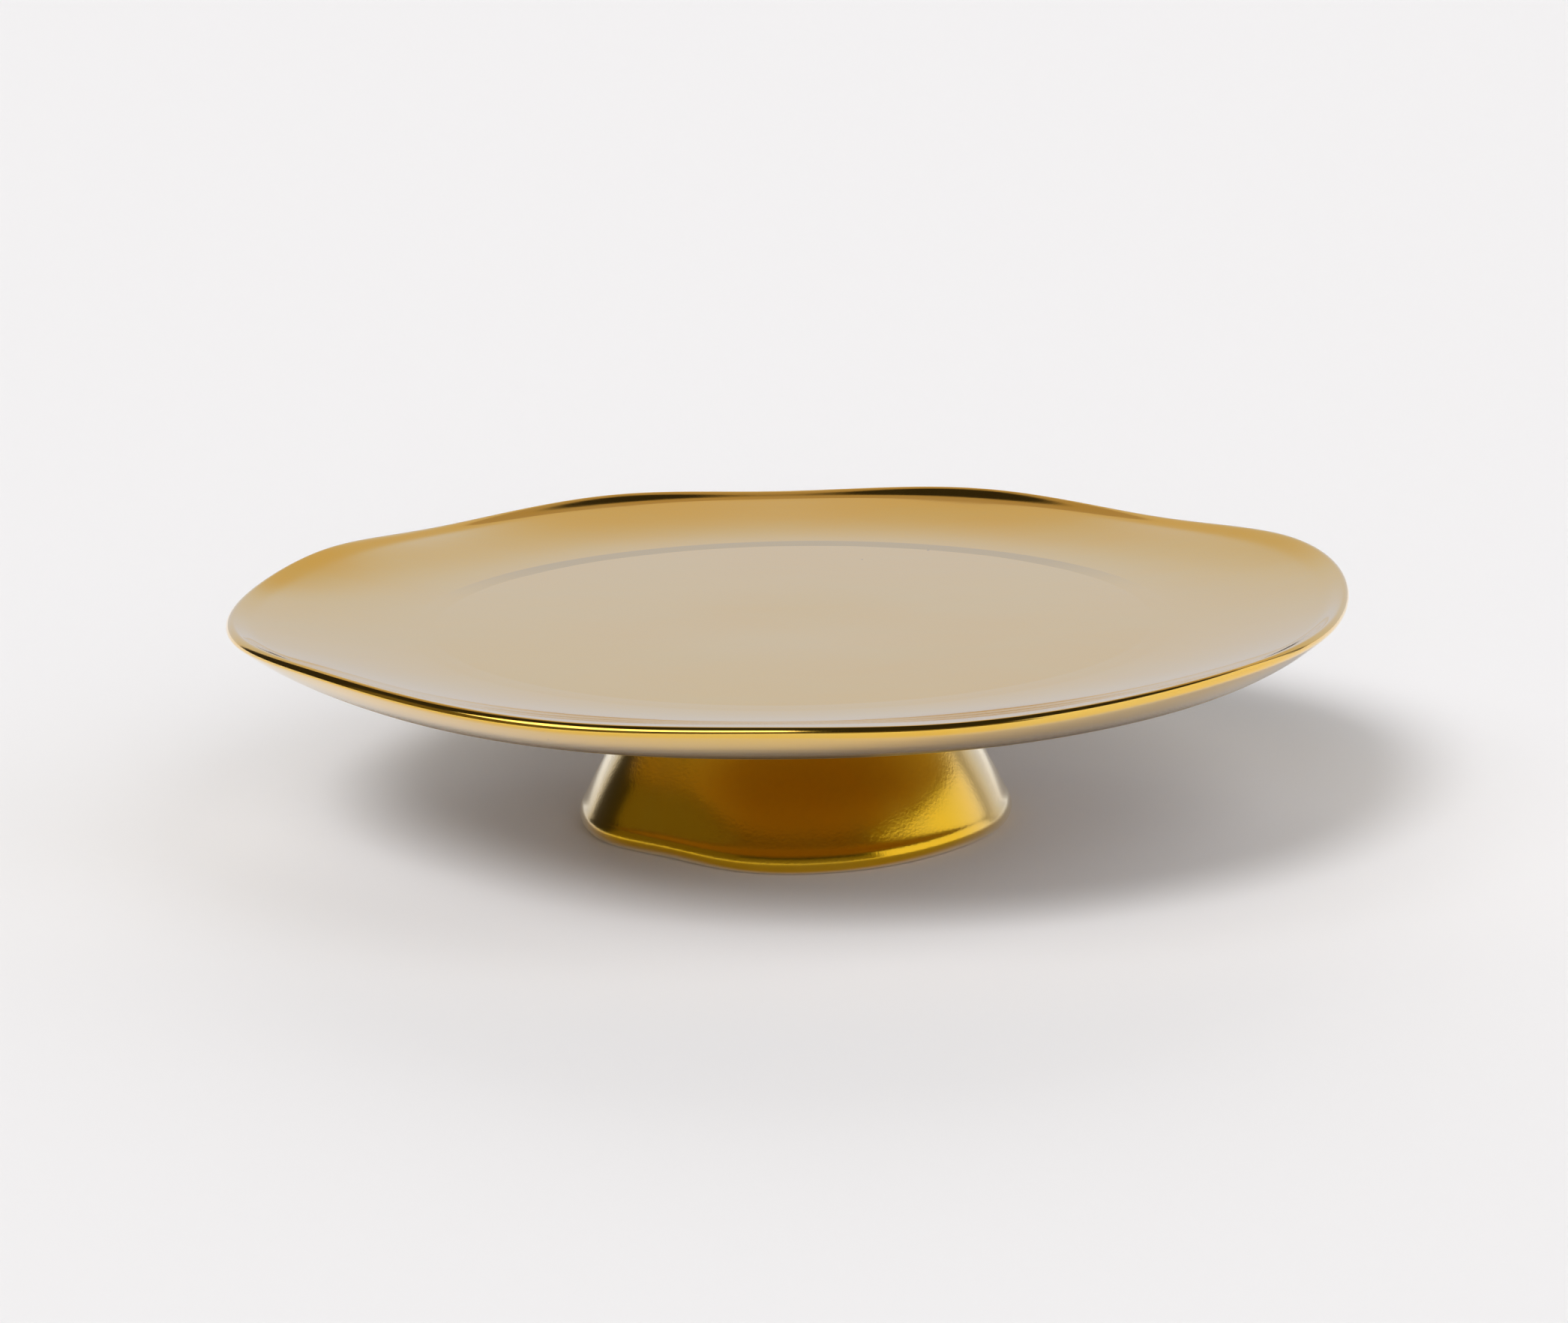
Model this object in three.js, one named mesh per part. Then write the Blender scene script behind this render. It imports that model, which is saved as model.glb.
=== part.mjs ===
// A round cake stand in gold-plated porcelain: a shallow plate with a hand-waved rim, on a short hollow
// foot. The plate and the foot are two castings, luted together with a ring of slip and glost fired.
// Millimetres, +Z up. The origin is on the table, on the foot's axis.
import * as THREE from 'three';

// Plate: a flat well, a low ring step round it, and a brim that steepens outwards to a thin curled lip.
const wellRadius = 103;
const wellHeight = 59;
const ringRadius = 109.5;
const ringRise = 0.2;
const brimStart = 2.08;
const brimBow = 5.2;
const curlRadius = 152;
const curlRise = 0.95;
const rimReach = 159;
const rimHeight = 67.2;
const brimSteps = 9;
const curlSteps = 4;

// The rolled edge of the lip is an arc. Below it come a leaning flank, a turn, and a flat to the axis.
const beadRadius = 1.6;
const beadReach = 159.65;
const beadEndAngle = THREE.MathUtils.degToRad(-52);
const flankRadius = 153.2;
const flankHeight = 60.1;
const undersideHeight = 52.2;
const undersideFlatRadius = 126;
const lobeStartRadius = 108;
// Curve handles of the flank, each as inwards or outwards and down or up from the point it belongs to.
const flatHandle = [12, 0];
const flankLowHandle = [-7.2, -4.3];
const flankHighHandle = [3, 2];
const beadHandle = [-1.2, -0.9];

// Foot: a hollow truncated cone, open below, with a wavy lip and a flat ground foot ring.
const footReach = 61;
const footWall = 6;
const footRingOuter = 57.4;
const footRingInner = 54;
const footLipHeight = 4;
const footTopHeight = 50.3;
const neckRadius = 41.8;
const footBeadReach = 61.8;
const footBeadHeight = 3;
const footBeadTop = 7.2;
const footBeadInset = 1.6;
const kneeDepth = 8.7;
const kneeHeight = 22.8;
const liftFadeHeight = 10;
// Curve handles of the foot's faces, from the point each belongs to.
const footRingHandle = [4.2, 0];
const footBeadHandle = [-0.05, 2.4];
const shoulderHandle = [-1.3, 3];
const kneeLowHandle = [3.1, -5];
const kneeHighHandle = [-4.5, 8];
const neckHandle = [1.4, -10];
const innerRingInset = 0.8;
const innerRingHandle = [-1, 7.2];

// Slip joint: fills the seam between the neck and the plate, with a cove outside and a small one inside.
const seamGap = 0.3;
const coveInset = 0.45;
const coveReach = 4.6;
const coveDrop = 4.4;
const innerCoveReach = 2;
const innerCoveDrop = 2.2;
const coveEdge = 0.35;
const coveBend = [0.8, 1];
const innerCoveBend = [0.35, 0.5];

// The rim was pressed into lobes by hand. Each row is a crest or a hollow: its angle from +X in degrees,
// the lip's reach from the axis and its height over the table.
const rimLobes = [
  [20, 161.5, 69], [44, 158.5, 65.2], [68, 159, 68], [91, 158.5, 65.6],
  [111, 159, 67.4], [134, 158.5, 64.6], [155, 155, 68.4], [174, 158.5, 66.4],
  [196, 161, 67.2], [218, 158, 68.6], [246, 160, 66.8], [267, 159, 67.2],
  [286, 159.5, 66.4], [315, 158.5, 68.4], [334, 157, 67.6], [350, 157, 67.2],
];

// The foot's lip is waved too: angle, reach from the axis, and how far its edge lifts off the table.
const footLobes = [
  [25, 62.5, 0.3], [60, 60.5, 0.8], [95, 61.5, 0.2], [125, 60.5, 0.7], [155, 62, 0.2], [184, 61.6, 0.4],
  [204, 61.2, 0.4], [230, 57, 0.9], [258, 61, 0.2], [280, 61.5, 0.2], [318, 60.5, 0.8], [350, 61.5, 0.2],
];

const drawPower = 2;
const bendPower = 4.5;

const plateSegments = 96;
const footSegments = 80;
const slipSegments = 64;
const curveSteps = 5;

const gold = { color: 0xe3ab48, roughness: 0.14, metalness: 1 };
const slipGold = { color: 0xcf9a3e, roughness: 0.2, metalness: 1 };

function smoothStep(value) {
  const t = Math.min(1, Math.max(0, value));
  return t * t * (3 - 2 * t);
}

// The value of one column of a lobe list at any angle, on a smooth closed curve through its rows.
function lobeValue(lobes, column, angle) {
  const following = lobes.findIndex((lobe) => lobe[0] > angle);
  const next = following < 0 ? lobes.length : following;
  const rowAt = (index) => {
    const turns = Math.floor(index / lobes.length);
    const lobe = lobes[index - turns * lobes.length];
    return { angle: lobe[0] + 360 * turns, value: lobe[column] };
  };
  const [before, from, to, after] = [rowAt(next - 2), rowAt(next - 1), rowAt(next), rowAt(next + 1)];
  const span = to.angle - from.angle;
  const startSlope = (to.value - before.value) / (to.angle - before.angle);
  const endSlope = (after.value - from.value) / (after.angle - from.angle);
  const t = (angle - from.angle) / span;
  const blend = smoothStep(t);
  const startBow = t * (1 - t) * (1 - t) * span * startSlope;
  const endBow = t * t * (1 - t) * span * endSlope;
  return from.value + (to.value - from.value) * blend + startBow - endBow;
}

// Turns a section about the foot's axis, then moves each point in or out and up or down by the shift.
function turn(section, segments, shift) {
  const geometry = new THREE.LatheGeometry(section.getPoints(curveSteps), segments);
  geometry.rotateX(Math.PI / 2);
  const position = geometry.attributes.position;
  for (let i = 0; i < position.count; i += 1) {
    const [x, y, z] = [position.getX(i), position.getY(i), position.getZ(i)];
    const radius = Math.hypot(x, y);
    const angle = (THREE.MathUtils.radToDeg(Math.atan2(y, x)) + 360) % 360;
    const { outward, upward } = shift(radius, angle, z);
    const scale = radius > 0 ? (radius + outward) / radius : 1;
    position.setXYZ(i, x * scale, y * scale, z + upward);
  }
  geometry.computeVertexNormals();
  return geometry;
}

const keepRound = () => ({ outward: 0, upward: 0 });

// Draws a curve with one handle at each end, to a point given by its radius and height.
function curveTo(section, startHandle, endHandle, radius, height) {
  const { x, y } = section.currentPoint;
  section.bezierCurveTo(
    x + startHandle[0], y + startHandle[1], radius + endHandle[0], height + endHandle[1], radius, height,
  );
}

// Lobes start at the ring step. The lip is drawn in or out over the outer brim, and bent up or down close
// to its edge.
function rimShift(radius, angle) {
  const share = Math.min(1, Math.max(0, (radius - lobeStartRadius) / (rimReach - lobeStartRadius)));
  return {
    outward: share ** drawPower * (lobeValue(rimLobes, 1, angle) - rimReach),
    upward: share ** bendPower * (lobeValue(rimLobes, 2, angle) - rimHeight),
  };
}

// Lobes are full at the table and die away at the neck. Only the edge outside the foot ring lifts.
function footShift(radius, angle, height) {
  const share = 1 - smoothStep((height - footLipHeight) / (footTopHeight - footLipHeight));
  const lifted = smoothStep((radius - footRingOuter) / (footReach - footRingOuter));
  const lowered = 1 - smoothStep(height / liftFadeHeight);
  return {
    outward: share * (lobeValue(footLobes, 1, angle) - footReach),
    upward: lifted * lowered * lobeValue(footLobes, 2, angle),
  };
}

// Height of the plate's upper face outside the ring step.
function brimHeight(radius) {
  const share = (radius - ringRadius) / (rimReach - ringRadius);
  const curl = smoothStep((radius - curlRadius) / (beadReach - beadRadius - curlRadius));
  return wellHeight + ringRise + brimStart * share + brimBow * share * share + curlRise * curl;
}

// Draws the upper face inwards from one radius to another.
function drawBrim(section, fromRadius, toRadius, steps) {
  for (let i = 1; i <= steps; i += 1) {
    const radius = fromRadius + ((toRadius - fromRadius) * i) / steps;
    section.lineTo(radius, brimHeight(radius));
  }
}

function plateSection() {
  const beadCentre = new THREE.Vector2(beadReach - beadRadius, rimHeight - beadRadius);
  const flankEnd = new THREE.Vector2(Math.cos(beadEndAngle), Math.sin(beadEndAngle));
  flankEnd.multiplyScalar(beadRadius).add(beadCentre);
  const section = new THREE.Shape();
  section.moveTo(0, undersideHeight);
  section.lineTo(lobeStartRadius, undersideHeight);
  section.lineTo(undersideFlatRadius, undersideHeight);
  curveTo(section, flatHandle, flankLowHandle, flankRadius, flankHeight);
  curveTo(section, flankHighHandle, beadHandle, flankEnd.x, flankEnd.y);
  section.absarc(beadCentre.x, beadCentre.y, beadRadius, beadEndAngle, Math.PI / 2, false);
  drawBrim(section, beadCentre.x, curlRadius, curlSteps);
  drawBrim(section, curlRadius, ringRadius, brimSteps);
  section.lineTo(wellRadius, wellHeight);
  section.lineTo(0, wellHeight);
  return section;
}

// The outer face flares from the neck through a knee to the lip. The inner face follows it, one wall in.
function footSection() {
  const kneeRadius = footReach - kneeDepth;
  const innerNeck = neckRadius - footWall;
  const innerKnee = kneeRadius - footWall;
  const section = new THREE.Shape();
  section.moveTo(footRingInner, 0);
  section.lineTo(footRingOuter, 0);
  section.quadraticCurveTo(
    footRingOuter + footRingHandle[0], footRingHandle[1], footBeadReach, footBeadHeight,
  );
  section.quadraticCurveTo(
    footBeadReach + footBeadHandle[0], footBeadHeight + footBeadHandle[1],
    footBeadReach - footBeadInset, footBeadTop,
  );
  curveTo(section, shoulderHandle, kneeLowHandle, kneeRadius, kneeHeight);
  curveTo(section, kneeHighHandle, neckHandle, neckRadius, footTopHeight);
  section.lineTo(innerNeck, footTopHeight);
  curveTo(section, neckHandle, kneeHighHandle, innerKnee, kneeHeight);
  section.quadraticCurveTo(
    footRingInner + innerRingHandle[0], innerRingHandle[1], footRingInner - innerRingInset, innerRingInset,
  );
  section.lineTo(footRingInner, 0);
  return section;
}

function slipSection() {
  const top = undersideHeight - seamGap;
  const landTop = footTopHeight + seamGap;
  const outerFace = neckRadius + seamGap;
  const innerFace = neckRadius - footWall - seamGap;
  const section = new THREE.Shape();
  section.moveTo(outerFace, landTop);
  section.lineTo(outerFace + coveInset, top - coveDrop);
  section.lineTo(outerFace + coveInset + coveEdge, top - coveDrop);
  section.quadraticCurveTo(
    outerFace + coveEdge + coveBend[0], top - coveBend[1], outerFace + coveReach, top - coveEdge,
  );
  section.lineTo(outerFace + coveReach, top);
  section.lineTo(innerFace - innerCoveReach, top);
  section.lineTo(innerFace - innerCoveReach, top - coveEdge);
  section.quadraticCurveTo(
    innerFace - innerCoveBend[0], top - innerCoveBend[1], innerFace - coveEdge, top - innerCoveDrop,
  );
  section.lineTo(innerFace, top - innerCoveDrop);
  section.lineTo(innerFace, landTop);
  section.lineTo(outerFace, landTop);
  return section;
}

function piece(name, geometry, finish) {
  const mesh = new THREE.Mesh(geometry, new THREE.MeshStandardMaterial(finish));
  mesh.name = name;
  return mesh;
}

const cakeStand = new THREE.Group();
cakeStand.add(piece('cake_plate', turn(plateSection(), plateSegments, rimShift), gold));
cakeStand.add(piece('slip_joint', turn(slipSection(), slipSegments, keepRound), slipGold));
cakeStand.add(piece('pedestal_foot', turn(footSection(), footSegments, footShift), gold));

export default cakeStand;
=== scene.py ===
import bpy, bmesh, math
from mathutils import Matrix, Vector


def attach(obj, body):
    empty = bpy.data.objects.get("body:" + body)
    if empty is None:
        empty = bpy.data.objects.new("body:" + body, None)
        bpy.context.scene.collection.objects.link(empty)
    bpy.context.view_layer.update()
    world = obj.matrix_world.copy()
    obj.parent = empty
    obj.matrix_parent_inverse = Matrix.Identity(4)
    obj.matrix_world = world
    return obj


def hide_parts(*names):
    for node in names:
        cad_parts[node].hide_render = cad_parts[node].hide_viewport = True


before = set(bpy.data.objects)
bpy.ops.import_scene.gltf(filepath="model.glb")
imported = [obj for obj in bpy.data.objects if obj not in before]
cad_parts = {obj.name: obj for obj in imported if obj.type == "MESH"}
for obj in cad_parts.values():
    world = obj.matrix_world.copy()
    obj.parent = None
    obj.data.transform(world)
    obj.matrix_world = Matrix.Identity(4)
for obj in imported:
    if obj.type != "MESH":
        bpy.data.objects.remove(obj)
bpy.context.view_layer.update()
mm = 0.001
mergeDistance = 0.001 * mm
roundingLevels = 2
print("frame loaded")


def smoothStep(value):
    t = min(1.0, max(0.0, value))
    return t * t * (3 - 2 * t)


def lobeValue(lobes, column, angle):
    # a smooth closed curve through one column of the lobes, by angle in degrees
    count = len(lobes)
    following = next((i for i, lobe in enumerate(lobes) if lobe[0] > angle), count)
    rows = []
    for index in range(following - 2, following + 2):
        turns, row = divmod(index, count)
        rows.append((lobes[row][0] + 360 * turns, lobes[row][column]))
    before, start, end, after = rows
    span = end[0] - start[0]
    startSlope = (end[1] - before[1]) / (end[0] - before[0])
    endSlope = (after[1] - start[1]) / (after[0] - start[0])
    t = (angle - start[0]) / span
    bow = t * (1 - t) * span * ((1 - t) * startSlope - t * endSlope)
    return start[1] + (end[1] - start[1]) * smoothStep(t) + bow


def curvePoints(start, startHandle, endHandle, end, steps):
    # a curve's points after its start, in even steps; each handle is measured from its own end
    corners = (
        start,
        (start[0] + startHandle[0], start[1] + startHandle[1]),
        (end[0] + endHandle[0], end[1] + endHandle[1]),
        end,
    )
    points = []
    for step in range(1, steps + 1):
        t = step / steps
        shares = ((1 - t) ** 3, 3 * t * (1 - t) ** 2, 3 * t * t * (1 - t), t ** 3)
        radius = sum(share * corner[0] for share, corner in zip(shares, corners))
        height = sum(share * corner[1] for share, corner in zip(shares, corners))
        points.append((radius, height))
    return points


def spinSection(section, steps, closed):
    # section is a list of (radius, height) in millimetres, turned about the foot's axis
    bm = bmesh.new()
    ring = [bm.verts.new((r * mm, 0, z * mm)) for r, z in section]
    pairs = list(zip(ring, ring[1:]))
    if closed:
        pairs.append((ring[-1], ring[0]))
    edges = [bm.edges.new(pair) for pair in pairs]
    bmesh.ops.spin(bm, geom=ring + edges, cent=(0, 0, 0), axis=(0, 0, 1), angle=math.tau,
                   steps=steps, use_merge=True)
    bmesh.ops.remove_doubles(bm, verts=bm.verts, dist=mergeDistance)
    bmesh.ops.recalc_face_normals(bm, faces=bm.faces)
    return bm


def shiftPoints(bm, shift):
    # shift says how far a point goes outwards and upwards, in millimetres
    for vert in bm.verts:
        radius = math.hypot(vert.co.x, vert.co.y)
        angle = math.degrees(math.atan2(vert.co.y, vert.co.x)) % 360
        outward, upward = shift(radius / mm, vert.co.z / mm, angle)
        if radius > mergeDistance:
            scale = (radius + outward * mm) / radius
            vert.co.x *= scale
            vert.co.y *= scale
        vert.co.z += upward * mm


def finishPiece(name, bm, materials, node):
    # a smooth, rounded piece that stands for one CAD node
    mesh = bpy.data.meshes.new(name)
    bm.to_mesh(mesh)
    bm.free()
    piece = bpy.data.objects.new(name, mesh)
    bpy.context.scene.collection.objects.link(piece)
    for polygon in mesh.polygons:
        polygon.use_smooth = True
    for material in materials:
        mesh.materials.append(material)
    rounding = piece.modifiers.new("rounding", "SUBSURF")
    rounding.levels = roundingLevels
    rounding.render_levels = roundingLevels
    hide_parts(node)
    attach(piece, "root")
    print(name, "made")


def addNode(tree, kind, values=None, **settings):
    # a node with its settings and its unlinked input values
    node = tree.nodes.new(kind)
    for name, value in settings.items():
        setattr(node, name, value)
    for key, value in (values or {}).items():
        node.inputs[key].default_value = value
    return node


def mathNode(tree, operation, first, second=0.0):
    # a Math node; each side is a number or an output socket
    node = tree.nodes.new("ShaderNodeMath")
    node.operation = operation
    for socket, value in zip(node.inputs, (first, second)):
        if isinstance(value, (int, float)):
            socket.default_value = value
        else:
            tree.links.new(value, socket)
    return node.outputs["Value"]


def ramp(tree, value, start, end):
    # a soft step of a value from 0 at start to 1 at end
    limits = {"From Min": start, "From Max": end, "To Min": 0.0, "To Max": 1.0}
    node = addNode(tree, "ShaderNodeMapRange", limits, interpolation_type="SMOOTHSTEP")
    tree.links.new(value, node.inputs["Value"])
    return node.outputs["Result"]


def blend(tree, mask, first, second):
    # two colours, each a tuple or a socket, mixed by a mask socket; a Mix node's colours are inputs 6 and 7
    node = addNode(tree, "ShaderNodeMix", data_type="RGBA", blend_type="MIX")
    tree.links.new(mask, node.inputs[0])
    for socket, colour in ((node.inputs[6], first), (node.inputs[7], second)):
        if isinstance(colour, tuple):
            socket.default_value = (*colour, 1)
        else:
            tree.links.new(colour, socket)
    return node.outputs[2]


def startGroup(name, inputs, outputs):
    # a shader node group with named sockets, each input a (name, kind, default)
    tree = bpy.data.node_groups.new(name, "ShaderNodeTree")
    for socketName, kind, value in inputs:
        socket = tree.interface.new_socket(socketName, in_out="INPUT", socket_type="NodeSocket" + kind)
        if value is not None:
            socket.default_value = value
    for socketName, kind in outputs:
        tree.interface.new_socket(socketName, in_out="OUTPUT", socket_type="NodeSocket" + kind)
    return tree, tree.nodes.new("NodeGroupInput"), tree.nodes.new("NodeGroupOutput")


def placeGroup(tree, group, coords, values):
    node = addNode(tree, "ShaderNodeGroup", node_tree=group)
    tree.links.new(coords, node.inputs["Vector"])
    for key, value in values.items():
        node.inputs[key].default_value = value
    return node


glaze = {
    "grain": [  # scale, detail and depth of each layer
        ("Peel", 1100, 2, 0.02), ("Ripple", 260, 2, 0.08), ("Wave", 42, 1, 0.7),
    ],
    "smearStretch": (1, 2.2, 1), "smearTurn": 0.5, "smearEdge": (0.38, 0.72),
}


def makeGlazeGrain():
    # the skin of the glaze under the plating: fine peel, soft ripple and wide waves, as a height
    tree, start, end = startGroup(
        "glazeGrain",
        [("Vector", "Vector", None), ("Peel", "Float", 0.3), ("Ripple", "Float", 0.5),
         ("Wave", "Float", 1.0)],
        [("Height", "Float")],
    )
    total = None
    for key, scale, detail, depth in glaze["grain"]:
        texture = addNode(tree, "ShaderNodeTexNoise", {"Scale": scale, "Detail": detail, "Roughness": 0.5})
        tree.links.new(start.outputs["Vector"], texture.inputs["Vector"])
        amount = mathNode(tree, "MULTIPLY", start.outputs[key], depth)
        layer = mathNode(tree, "MULTIPLY", texture.outputs["Fac"], amount)
        total = layer if total is None else mathNode(tree, "ADD", total, layer)
    tree.links.new(total, end.inputs["Height"])
    return tree


def makeGlazeFlaws():
    # sparse pinholes and specks: round spots of uneven size, as a mask
    tree, start, end = startGroup(
        "glazeFlaws",
        [("Vector", "Vector", None), ("Scale", "Float", 90.0), ("Amount", "Float", 0.1),
         ("Size", "Float", 0.1)],
        [("Mask", "Float")],
    )
    cells = addNode(tree, "ShaderNodeTexVoronoi")
    tree.links.new(start.outputs["Vector"], cells.inputs["Vector"])
    tree.links.new(start.outputs["Scale"], cells.inputs["Scale"])
    split = addNode(tree, "ShaderNodeSeparateColor")
    tree.links.new(cells.outputs["Color"], split.inputs["Color"])
    chosen = mathNode(tree, "LESS_THAN", split.outputs["Red"], start.outputs["Amount"])
    size = mathNode(tree, "MULTIPLY", split.outputs["Green"], start.outputs["Size"])
    inside = mathNode(tree, "LESS_THAN", cells.outputs["Distance"], size)
    tree.links.new(mathNode(tree, "MULTIPLY", chosen, inside), end.inputs["Mask"])
    return tree


def makeHandling():
    # wiped and handled film on the plating: drawn-out soft smears, as a mask
    tree, start, end = startGroup(
        "handling", [("Vector", "Vector", None), ("Scale", "Float", 22.0), ("Cover", "Float", 0.5)],
        [("Mask", "Float")],
    )
    stretch = addNode(tree, "ShaderNodeMapping",
                      {"Scale": glaze["smearStretch"], "Rotation": (0, 0, glaze["smearTurn"])})
    tree.links.new(start.outputs["Vector"], stretch.inputs["Vector"])
    smear = addNode(tree, "ShaderNodeTexNoise", {"Detail": 4, "Roughness": 0.6, "Distortion": 0.8})
    tree.links.new(stretch.outputs["Vector"], smear.inputs["Vector"])
    tree.links.new(start.outputs["Scale"], smear.inputs["Scale"])
    film = ramp(tree, smear.outputs["Fac"], *glaze["smearEdge"])
    tree.links.new(mathNode(tree, "MULTIPLY", film, start.outputs["Cover"]), end.inputs["Mask"])
    return tree


glazeGrain = makeGlazeGrain()
glazeFlaws = makeGlazeFlaws()
handling = makeHandling()


def goldMaterial(name, look):
    # gold plating over glazed porcelain; look holds its colours, film, flaws and relief, lengths in metres
    material = bpy.data.materials.new(name)
    material.use_nodes = True
    tree = material.node_tree
    links = tree.links
    shader = tree.nodes["Principled BSDF"]
    shader.inputs["Metallic"].default_value = 1
    shader.inputs["IOR"].default_value = 1.5
    shader.inputs["Coat Roughness"].default_value = look["coatRoughness"]
    coords = tree.nodes.new("ShaderNodeTexCoord").outputs["Object"]
    place = tree.nodes.new("ShaderNodeSeparateXYZ")
    links.new(coords, place.inputs["Vector"])

    film = placeGroup(tree, handling, coords, {"Scale": look["filmScale"], "Cover": look["film"]})
    tone = addNode(tree, "ShaderNodeTexNoise",
                   {"Scale": look["toneScale"], "Detail": 3, "Roughness": 0.55})
    links.new(coords, tone.inputs["Vector"])
    toneMask = ramp(tree, tone.outputs["Fac"], *look["toneEdge"])
    colour = blend(tree, toneMask, look["colour"], look["warmColour"])
    colour = blend(tree, film.outputs["Mask"], colour, look["filmColour"])

    # painted shade: the plate's underside under the brim and its undercut flank are darkened where shade
    # falls, and are duller there too, rougher and with less coat
    flat = addNode(tree, "ShaderNodeVectorMath", {1: (1, 1, 0)}, operation="MULTIPLY")
    links.new(coords, flat.inputs[0])
    reach = addNode(tree, "ShaderNodeVectorMath", operation="LENGTH")
    links.new(flat.outputs["Vector"], reach.inputs[0])
    away = reach.outputs["Value"]
    outside = mathNode(tree, "MAXIMUM", mathNode(tree, "SUBTRACT", away, look["flankStart"]), 0.0)
    flankRise = mathNode(tree, "MULTIPLY", outside, look["flankSlope"])
    lowered = mathNode(tree, "SUBTRACT", place.outputs["Z"], flankRise)
    under = ramp(tree, lowered, *look["undersideShadeHeights"])
    shaded = mathNode(tree, "MULTIPLY", under, ramp(tree, away, *look["undersideShadeRadii"]))
    colour = blend(tree, shaded, colour, look["undersideShadeColour"])
    # painted shade: the undercut flank below the rim is darkened as well
    undercut = mathNode(tree, "MULTIPLY", ramp(tree, away, *look["undercutInner"]),
                     ramp(tree, away, *look["undercutOuter"]))
    undercut = mathNode(tree, "MULTIPLY", undercut, under)
    colour = blend(tree, undercut, colour, look["undercutShadeColour"])

    # painted reflection: a darker band along the step round the well, on the far half only, broken along its
    # inner edge
    edge = addNode(tree, "ShaderNodeTexNoise",
                   {"Scale": look["raggedScale"], "Detail": 3, "Roughness": 0.6})
    links.new(coords, edge.inputs["Vector"])
    wander = mathNode(tree, "MULTIPLY", edge.outputs["Fac"], look["raggedDepth"])
    ragged = mathNode(tree, "ADD", away, wander)
    reflectionBand = ramp(tree, ragged, *look["reflectionBandInner"])
    reflectionBand = mathNode(tree, "MULTIPLY", reflectionBand, ramp(tree, away, *look["reflectionBandOuter"]))
    reflectionBand = mathNode(tree, "MULTIPLY", reflectionBand, ramp(tree, place.outputs["Y"], *look["reflectionBandFar"]))
    reflectionBand = mathNode(tree, "MULTIPLY", reflectionBand, ramp(tree, place.outputs["Z"], *look["reflectionBandHeights"]))
    colour = blend(tree, reflectionBand, colour, look["reflectionBandColour"])

    # gold goes pale at a glancing angle
    glance = ramp(tree, addNode(tree, "ShaderNodeLayerWeight").outputs["Facing"], *look["glance"])
    colour = blend(tree, glance, colour, look["paleColour"])

    flaws = placeGroup(tree, glazeFlaws, coords,
                       {"Scale": look["flawScale"], "Amount": look["flaws"], "Size": look["flawSize"]})
    colour = blend(tree, flaws.outputs["Mask"], colour, look["flawColour"])
    links.new(colour, shader.inputs["Base Color"])

    rough = mathNode(tree, "MULTIPLY", film.outputs["Mask"], look["filmRoughness"])
    rough = mathNode(tree, "ADD", rough, look["roughness"])
    darkenedRoughening = mathNode(tree, "MULTIPLY", mathNode(tree, "ADD", shaded, undercut), look["darkenedRoughness"])
    rough = mathNode(tree, "ADD", rough, darkenedRoughening)
    links.new(rough, shader.inputs["Roughness"])
    darkenedMost = mathNode(tree, "MAXIMUM", shaded, undercut)
    bare = mathNode(tree, "MULTIPLY", darkenedMost, -look["coat"] * look["coatLoss"])
    links.new(mathNode(tree, "ADD", bare, look["coat"]), shader.inputs["Coat Weight"])

    grain = placeGroup(tree, glazeGrain, coords,
                       {"Peel": look["peel"], "Ripple": look["ripple"], "Wave": look["wave"]})
    height = mathNode(tree, "SUBTRACT", grain.outputs["Height"],
                   mathNode(tree, "MULTIPLY", flaws.outputs["Mask"], look["flawDepth"]))
    bump = addNode(tree, "ShaderNodeBump", {"Strength": 1.0, "Distance": look["bumpDepth"]})
    links.new(height, bump.inputs["Height"])
    links.new(bump.outputs["Normal"], shader.inputs["Normal"])
    return material


plateLook = {
    "colour": (0.93, 0.58, 0.075), "warmColour": (0.93, 0.56, 0.06), "filmColour": (0.90, 0.60, 0.12),
    "toneScale": 9, "toneEdge": (0.35, 0.65),
    "roughness": 0.07, "coat": 0.9, "coatLoss": 0.7, "coatRoughness": 0.03,
    "film": 0.5, "filmScale": 20, "filmRoughness": 0.10,
    # painted shade: the next entries darken the plate's underside, where shade falls under the brim
    "undersideShadeHeights": (0.0584, 0.0570), "undersideShadeRadii": (0.150, 0.140), "undersideShadeColour": (0.24, 0.12, 0.006),
    "flankStart": 0.135, "flankSlope": 0.26,
    # painted shade: the next entries darken the undercut flank below the rim
    "undercutInner": (0.117, 0.125), "undercutOuter": (0.157, 0.143),
    "undercutShadeColour": (0.11, 0.055, 0.004),
    # painted reflection: the next entries lay a darker band on the far half of the step round the well
    "reflectionBandInner": (0.1036, 0.1040), "reflectionBandOuter": (0.1100, 0.1090), "reflectionBandColour": (0.62, 0.39, 0.05),
    "reflectionBandFar": (0.030, 0.085), "reflectionBandHeights": (0.0575, 0.0580), "raggedScale": 45, "raggedDepth": 0.0016,
    "darkenedRoughness": 0.25,
    "flaws": 0.06, "flawScale": 95, "flawSize": 0.05, "flawColour": (0.20, 0.09, 0.02), "flawDepth": 0.1,
    "peel": 2.0, "ripple": 1.0, "wave": 1.0, "bumpDepth": 0.0001,
    "glance": (0.9, 1.1), "paleColour": (0.93, 0.62, 0.12),
}
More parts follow.
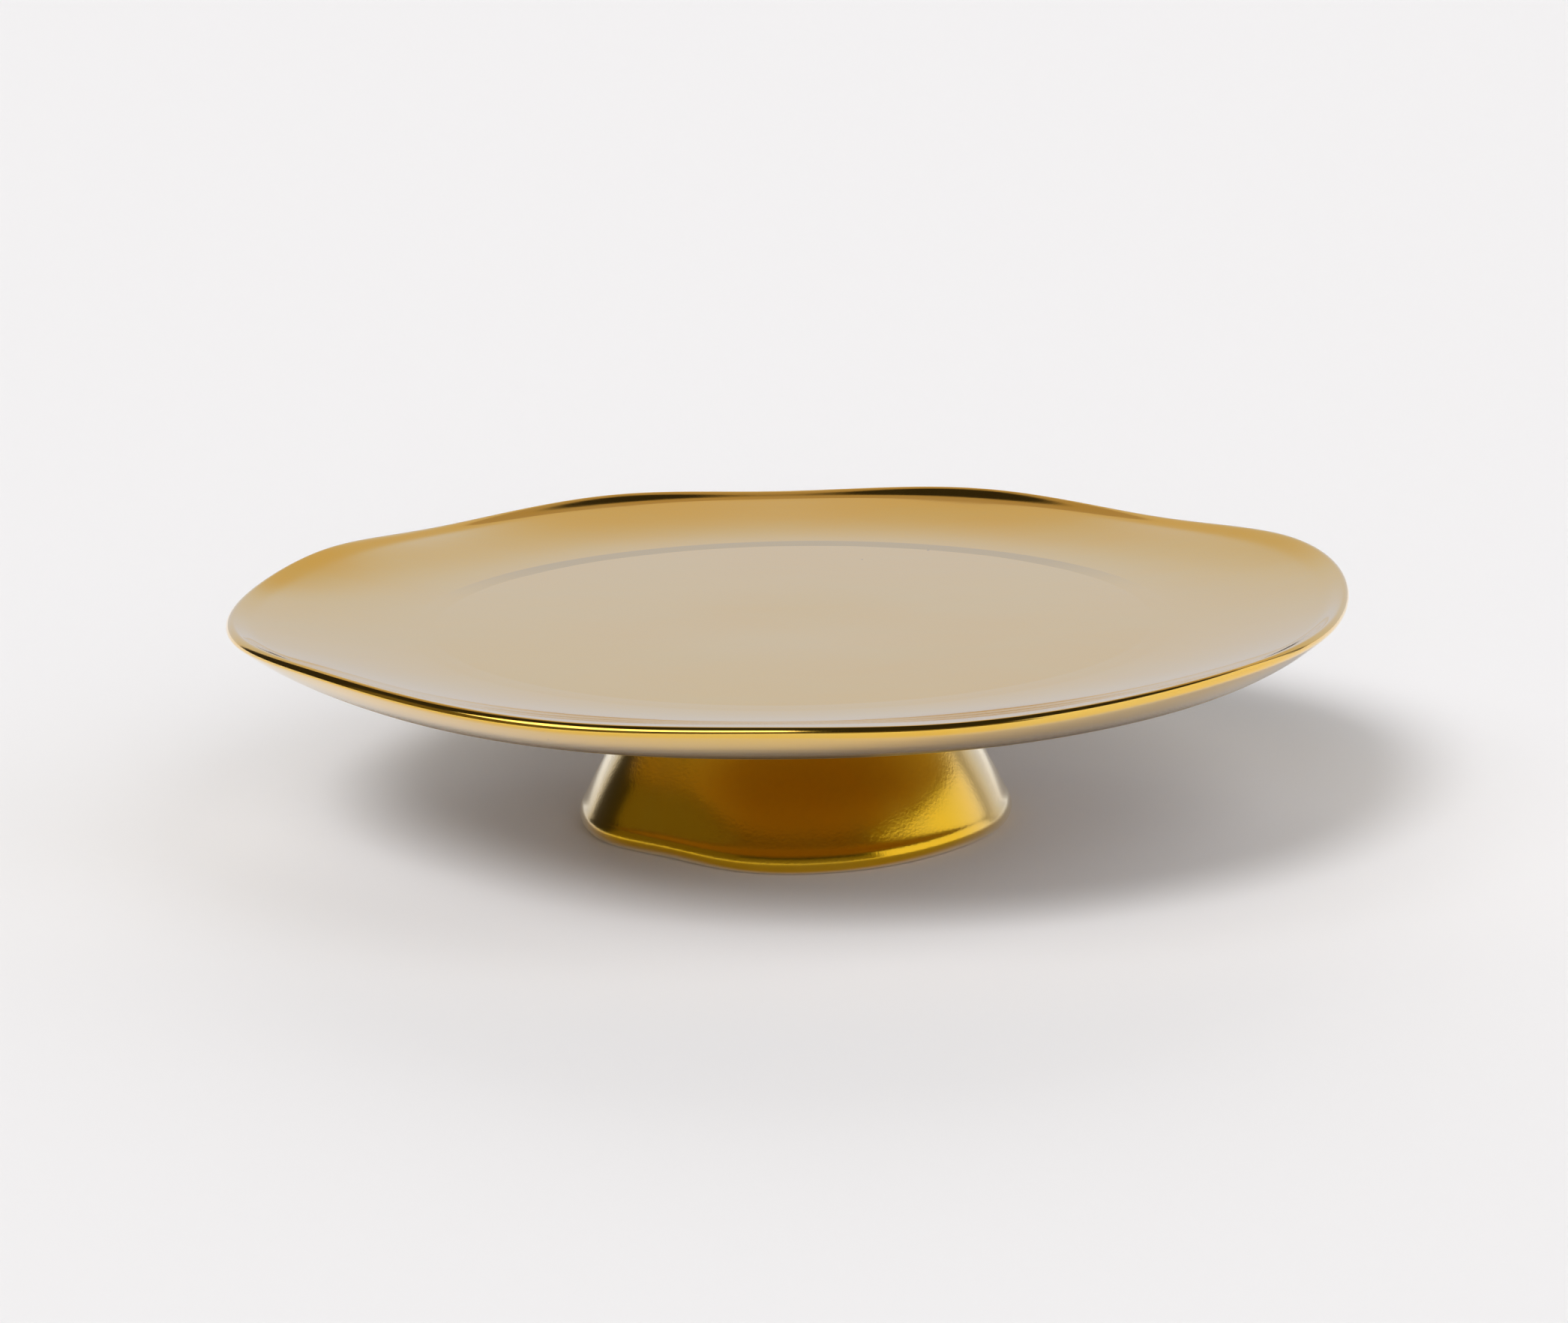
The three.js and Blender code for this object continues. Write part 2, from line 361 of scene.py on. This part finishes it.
# the foot's plating is duller and gets no painted underside shade and no painted reflection band, so those
# masks lie outside it
footLook = dict(
    plateLook, colour=(0.92, 0.55, 0.02), warmColour=(0.92, 0.53, 0.015), filmColour=(0.88, 0.56, 0.04),
    roughness=0.17, coat=0.12, coatRoughness=0.10, undersideShadeHeights=(-0.002, -0.003),
    reflectionBandInner=(1, 2), glance=(0.3, 0.9), paleColour=(0.97, 0.86, 0.62), flaws=0.08, peel=14.0, ripple=2.5,
)
plateGold = goldMaterial("plateGold", plateLook)
footGold = goldMaterial("footGold", footLook)


def porcelainMaterial(name, look):
    # bare ground biscuit under the foot, with grit from the table
    material = bpy.data.materials.new(name)
    material.use_nodes = True
    tree = material.node_tree
    shader = tree.nodes["Principled BSDF"]
    shader.inputs["Roughness"].default_value = look["roughness"]
    coords = tree.nodes.new("ShaderNodeTexCoord").outputs["Object"]
    grit = addNode(tree, "ShaderNodeTexNoise", {"Scale": look["gritScale"], "Detail": 4})
    tree.links.new(coords, grit.inputs["Vector"])
    gritMask = ramp(tree, grit.outputs["Fac"], *look["gritEdge"])
    colour = blend(tree, gritMask, look["colour"], look["gritColour"])
    tree.links.new(colour, shader.inputs["Base Color"])
    bump = addNode(tree, "ShaderNodeBump", {"Strength": look["bumpStrength"], "Distance": look["bumpDepth"]})
    tree.links.new(grit.outputs["Fac"], bump.inputs["Height"])
    tree.links.new(bump.outputs["Normal"], shader.inputs["Normal"])
    return material


bareRing = porcelainMaterial("bareRing", {
    "colour": (0.84, 0.81, 0.76), "gritColour": (0.55, 0.50, 0.43), "gritScale": 900,
    "gritEdge": (0.5, 0.75), "roughness": 0.85, "bumpStrength": 0.6, "bumpDepth": 0.00005,
})
print("finishes made")

plate = {
    "lobes": [  # angle from +X in degrees, the lip's reach from the axis, its height over the table
        (20, 161.5, 69), (44, 158.5, 65.2), (68, 159, 68), (91, 158.5, 65.6),
        (111, 159, 67.4), (134, 158.5, 64.6), (155, 155, 68.4), (174, 158.5, 66.4),
        (196, 161, 67.2), (218, 158, 68.6), (246, 160, 66.8), (267, 159, 67.2),
        (286, 159.5, 66.4), (315, 158.5, 68.4), (334, 157, 67.6), (350, 157, 67.2),
    ],
    "lobeStart": 108, "reach": 159, "height": 67.2, "drawPower": 2, "bendPower": 4.5,
    "well": 102.9, "wellHeight": 59, "ring": 109.5, "ringRise": 0.2, "underside": 52.2,
    "brimStart": 2.08, "brimBow": 5.2, "curl": 152, "curlRise": 0.95,
    "beadReach": 159.65, "bead": 1.6, "beadTolerance": 0.01,
    "beads": [  # angle, radius of the lip's rolled edge there
        (20, 1.6), (90, 1.45), (150, 1.5), (195, 2.0), (235, 2.15),
        (258, 1.8), (285, 1.4), (315, 1.45), (345, 1.6),
    ],
    "flankTurn": (152.6, 59.7), "flatEdge": (126, 52.2),
    "sag": 0.35, "sagReach": 48, "sagCentre": (0, -8), "steps": 96,
}
plate["crest"] = plate["beadReach"] - plate["bead"]


def topHeight(radius):
    # the upper face: a flat well, a slight ramp over the ring, then the brim and its curl
    if radius < plate["ring"]:
        ramped = max(0, radius - plate["well"]) / (plate["ring"] - plate["well"])
        return plate["wellHeight"] + plate["ringRise"] * ramped
    share = (radius - plate["ring"]) / (plate["reach"] - plate["ring"])
    curl = smoothStep((radius - plate["curl"]) / (plate["crest"] - plate["curl"]))
    rise = plate["brimStart"] * share + plate["brimBow"] * share ** 2 + plate["curlRise"] * curl
    return plate["wellHeight"] + plate["ringRise"] + rise


def beadPoint(angle, bead):
    # a point of the rolled edge, by its angle up from level and the roll's radius
    turn = math.radians(angle)
    return (plate["beadReach"] - bead * (1 - math.cos(turn)), plate["height"] - bead * (1 - math.sin(turn)))


def rimShift(radius, height, angle):
    share = min(1, max(0, (radius - plate["lobeStart"]) / (plate["reach"] - plate["lobeStart"])))
    outward = share ** plate["drawPower"] * (lobeValue(plate["lobes"], 1, angle) - plate["reach"])
    upward = share ** plate["bendPower"] * (lobeValue(plate["lobes"], 2, angle) - plate["height"])
    across, up = radius - plate["crest"], height - plate["height"] + plate["bead"]
    if abs(math.hypot(across, up) - plate["bead"]) < plate["beadTolerance"] and up > 0:
        rolled = beadPoint(math.degrees(math.atan2(up, across)), lobeValue(plate["beads"], 1, angle))
        outward += rolled[0] - radius
        upward += rolled[1] - height
    onTop = height > (plate["underside"] + plate["wellHeight"]) / 2
    if onTop and radius < plate["ring"]:
        x = radius * math.cos(math.radians(angle)) - plate["sagCentre"][0]
        y = radius * math.sin(math.radians(angle)) - plate["sagCentre"][1]
        upward -= plate["sag"] * (1 - smoothStep(math.hypot(x, y) / plate["sagReach"]))
    return outward, upward


topRadii = [0, 10, 20, 30, 40, 50, 62, 76, 90, 99, 101.8]
topRadii += [102.8, 103.2, 104.2, 106.5, 108.6, 109.3]
topRadii += [109.9, 111.5, 115, 119.5, 124.5, 130, 135.5, 141, 146, 150, 152.5, 154.2, 155.7, 157]
undersideRadii = [118, 108, 90, 70, 50, 30, 0]
plateSection = [(r, topHeight(r)) for r in topRadii]
plateSection += [beadPoint(angle, plate["bead"]) for angle in (90, 68, 45, 22, 0, -26, -52)]
plateSection += curvePoints(plateSection[-1], (-2, -1.6), (3.6, 2.4), plate["flankTurn"], 5)
plateSection += curvePoints(plate["flankTurn"], (-6.7, -3.9), (12.3, -0.25), plate["flatEdge"], 7)
plateSection += [(r, plate["underside"]) for r in undersideRadii]

bm = spinSection(plateSection, plate["steps"], False)
shiftPoints(bm, rimShift)
finishPiece("goldPlate", bm, [plateGold], "cake_plate")

foot = {
    "lobes": [  # angle from +X in degrees, the lip's reach from the axis, its edge's lift off the table
        (25, 62.5, 0.3), (60, 60.5, 0.8), (95, 61.5, 0.2), (125, 60.5, 0.7), (155, 62, 0.2),
        (184, 61.6, 0.4), (204, 61.2, 0.4), (230, 57, 0.9), (258, 61, 0.2), (280, 61.5, 0.2),
        (318, 60.5, 0.8), (350, 61.5, 0.2),
    ],
    "reach": 61, "ringInner": 54, "ringOuter": 57.4, "groundHeight": 0.05,
    "lip": (61.8, 3), "shoulder": (60.2, 7.2), "knee": (52.3, 22.8), "neck": (42.2, 47),
    "innerNeck": (36.3, 46), "innerShoulder": (52.7, 4), "innerLip": (53.2, 0.8),
    "topOuter": 41.8, "topInner": 36, "top": 50.3, "lipTop": 4, "liftFade": 10, "steps": 96,
}
ringMiddle = (foot["ringInner"] + foot["ringOuter"]) / 2
topMiddle = (foot["topInner"] + foot["topOuter"]) / 2
footSection = [(foot["ringInner"], 0), (ringMiddle, 0), (foot["ringOuter"], 0)]
footSection += curvePoints(footSection[-1], (2.8, 0), (-0.13, -2), foot["lip"], 4)
footSection += curvePoints(foot["lip"], (-0.03, 1.6), (1.03, -1.2), foot["shoulder"], 4)
footSection += curvePoints(foot["shoulder"], (-1.3, 3), (3.1, -5), foot["knee"], 4)
footSection += curvePoints(foot["knee"], (-4.3, 7), (1.7, -6.8), foot["neck"], 4)
footSection += [(r, foot["top"]) for r in (foot["topOuter"], topMiddle, foot["topInner"])]
footSection.append(foot["innerNeck"])
footSection += curvePoints(foot["innerNeck"], (-0.2, -8.6), (-1.8, 9.9), foot["innerShoulder"], 5)
footSection.append(foot["innerLip"])


def footShift(radius, height, angle):
    share = 1 - smoothStep((height - foot["lipTop"]) / (foot["top"] - foot["lipTop"]))
    lifted = smoothStep((radius - foot["ringOuter"]) / (foot["reach"] - foot["ringOuter"]))
    lowered = 1 - smoothStep(height / foot["liftFade"])
    outward = share * (lobeValue(foot["lobes"], 1, angle) - foot["reach"])
    return outward, lifted * lowered * lobeValue(foot["lobes"], 2, angle)


bm = spinSection(footSection, foot["steps"], True)
for face in bm.faces:
    if max(vert.co.z for vert in face.verts) < foot["groundHeight"] * mm:
        face.material_index = 1
shiftPoints(bm, footShift)
finishPiece("goldFoot", bm, [footGold, bareRing], "pedestal_foot")

slip = {
    "section": [  # down the neck, up and out along the cove, in under the plate, down the inner cove
        (42, 50.6), (41.9, 48.6), (42.15, 47.5), (42.5, 47.5), (43.0, 49.0), (44.2, 50.8),
        (46.0, 51.6), (46.6, 51.9), (43, 51.9), (36, 51.9), (33.5, 51.9), (34.3, 51.3),
        (35.2, 50.2), (35.5, 49.6), (35.8, 49.6), (35.9, 50.6),
    ],
    "steps": 96,
}
bm = spinSection(slip["section"], slip["steps"], True)
finishPiece("slipCove", bm, [footGold], "slip_joint")

studio = {
    "floorSize": 60, "floorColour": (0.80, 0.80, 0.82, 1), "floorRoughness": 0.9,
    "dark": (0.030, 0.026, 0.019), "strength": 1.0,
    "cards": [  # azimuth from straight ahead, clockwise; half width; lower and upper edge; softness; colour
        ("left", -107, 27, -12, 30, 5, (0.14, 0.115, 0.055)),
        ("farHigh", 5, 45, -12, 51, 3, (0.42, 0.33, 0.22)),
        ("farMiddle", 5, 45, -12, 37, 1, (0.60, 0.52, 0.38)),
        ("farLow", 5, 44, -12, 23, 7, (0.62, 0.63, 0.68)),
        ("right", 94, 38, -12, 32, 4, (0.92, 0.92, 0.98)),
        ("front", 180, 46, -12, 21, 4, (0.17, 0.15, 0.105)),
        ("keyBox", -140, 40, 34, 60, 4, (2.4, 2.35, 2.3)),
    ],
    "lamps": [  # strength, spread in degrees, the direction it hangs in
        ("key", 1.5, 20, (-0.338, -0.635, 0.695)),
        ("frontFill", 2.08, 50, (0.085, -0.967, 0.242)),
        ("backFill", 1.38, 50, (0, 0.970, 0.242)),
        ("sideFill", 0.45, 40, (0.557, -0.321, 0.766)),
    ],
    "cameraPlace": (-0.00264, -1.2158, 0.33405), "cameraTilt": 90 - 13.30, "cameraRoll": -0.887,
    "lens": 99.86, "sensor": 36, "clipEnd": 200,
}


def layFloor(studio):
    # a plain pale floor without shine
    mesh = bpy.data.meshes.new("floor")
    bm = bmesh.new()
    bmesh.ops.create_grid(bm, x_segments=1, y_segments=1, size=studio["floorSize"])
    bm.to_mesh(mesh)
    bm.free()
    floor = bpy.data.objects.new("floor", mesh)
    bpy.context.scene.collection.objects.link(floor)
    paint = bpy.data.materials.new("floorPaint")
    paint.use_nodes = True
    shader = paint.node_tree.nodes["Principled BSDF"]
    shader.inputs["Base Color"].default_value = studio["floorColour"]
    shader.inputs["Roughness"].default_value = studio["floorRoughness"]
    shader.inputs["Specular IOR Level"].default_value = 0.0
    mesh.materials.append(paint)
    return floor


def makeStudioWorld(studio):
    # soft cards all round, laid one over another on a dark room
    world = bpy.data.worlds.new("studio")
    bpy.context.scene.world = world
    world.use_nodes = True
    tree = world.node_tree
    direction = tree.nodes.new("ShaderNodeSeparateXYZ")
    tree.links.new(tree.nodes.new("ShaderNodeTexCoord").outputs["Object"], direction.inputs["Vector"])
    elevation = mathNode(tree, "ARCSINE", direction.outputs["Z"])
    azimuth = mathNode(tree, "ARCTAN2", direction.outputs["X"], direction.outputs["Y"])
    colour = studio["dark"]
    for name, centre, half, low, high, soft, shade in studio["cards"]:
        centre, half, low, high, soft = (math.radians(angle) for angle in (centre, half, low, high, soft))
        off = addNode(tree, "ShaderNodeMath", {1: math.pi, 2: -math.pi}, operation="WRAP", label=name)
        tree.links.new(mathNode(tree, "SUBTRACT", azimuth, centre), off.inputs[0])
        side = ramp(tree, mathNode(tree, "ABSOLUTE", off.outputs["Value"]), half + soft, half - soft)
        top = ramp(tree, elevation, high + soft, high - soft)
        bottom = ramp(tree, elevation, low - soft, low + soft)
        mask = mathNode(tree, "MULTIPLY", mathNode(tree, "MULTIPLY", top, bottom), side)
        colour = blend(tree, mask, colour, shade)
    background = tree.nodes["Background"]
    tree.links.new(colour, background.inputs["Color"])
    background.inputs["Strength"].default_value = studio["strength"]


def hangLamp(name, strength, spread, towards):
    # a soft lamp far away; the cards stand for it in the gold
    lamp = bpy.data.lights.new(name, "SUN")
    lamp.energy = strength
    lamp.angle = math.radians(spread)
    lampObject = bpy.data.objects.new(name, lamp)
    lampObject.rotation_euler = Vector(towards).to_track_quat("Z", "Y").to_euler()
    lampObject.visible_glossy = False
    bpy.context.scene.collection.objects.link(lampObject)


def placeCamera(studio):
    data = bpy.data.cameras.new("camera")
    data.lens = studio["lens"]
    data.sensor_width = studio["sensor"]
    data.clip_end = studio["clipEnd"]
    camera = bpy.data.objects.new("camera", data)
    tilt = Matrix.Rotation(math.radians(studio["cameraTilt"]), 4, "X")
    roll = Matrix.Rotation(math.radians(studio["cameraRoll"]), 4, "Z")
    camera.matrix_world = Matrix.Translation(studio["cameraPlace"]) @ (tilt @ roll)
    bpy.context.scene.collection.objects.link(camera)
    bpy.context.scene.camera = camera


floor = layFloor(studio)
makeStudioWorld(studio)
for name, strength, spread, towards in studio["lamps"]:
    hangLamp(name, strength, spread, towards)
placeCamera(studio)
bpy.context.scene.view_settings.view_transform = "Standard"
print("studio made")
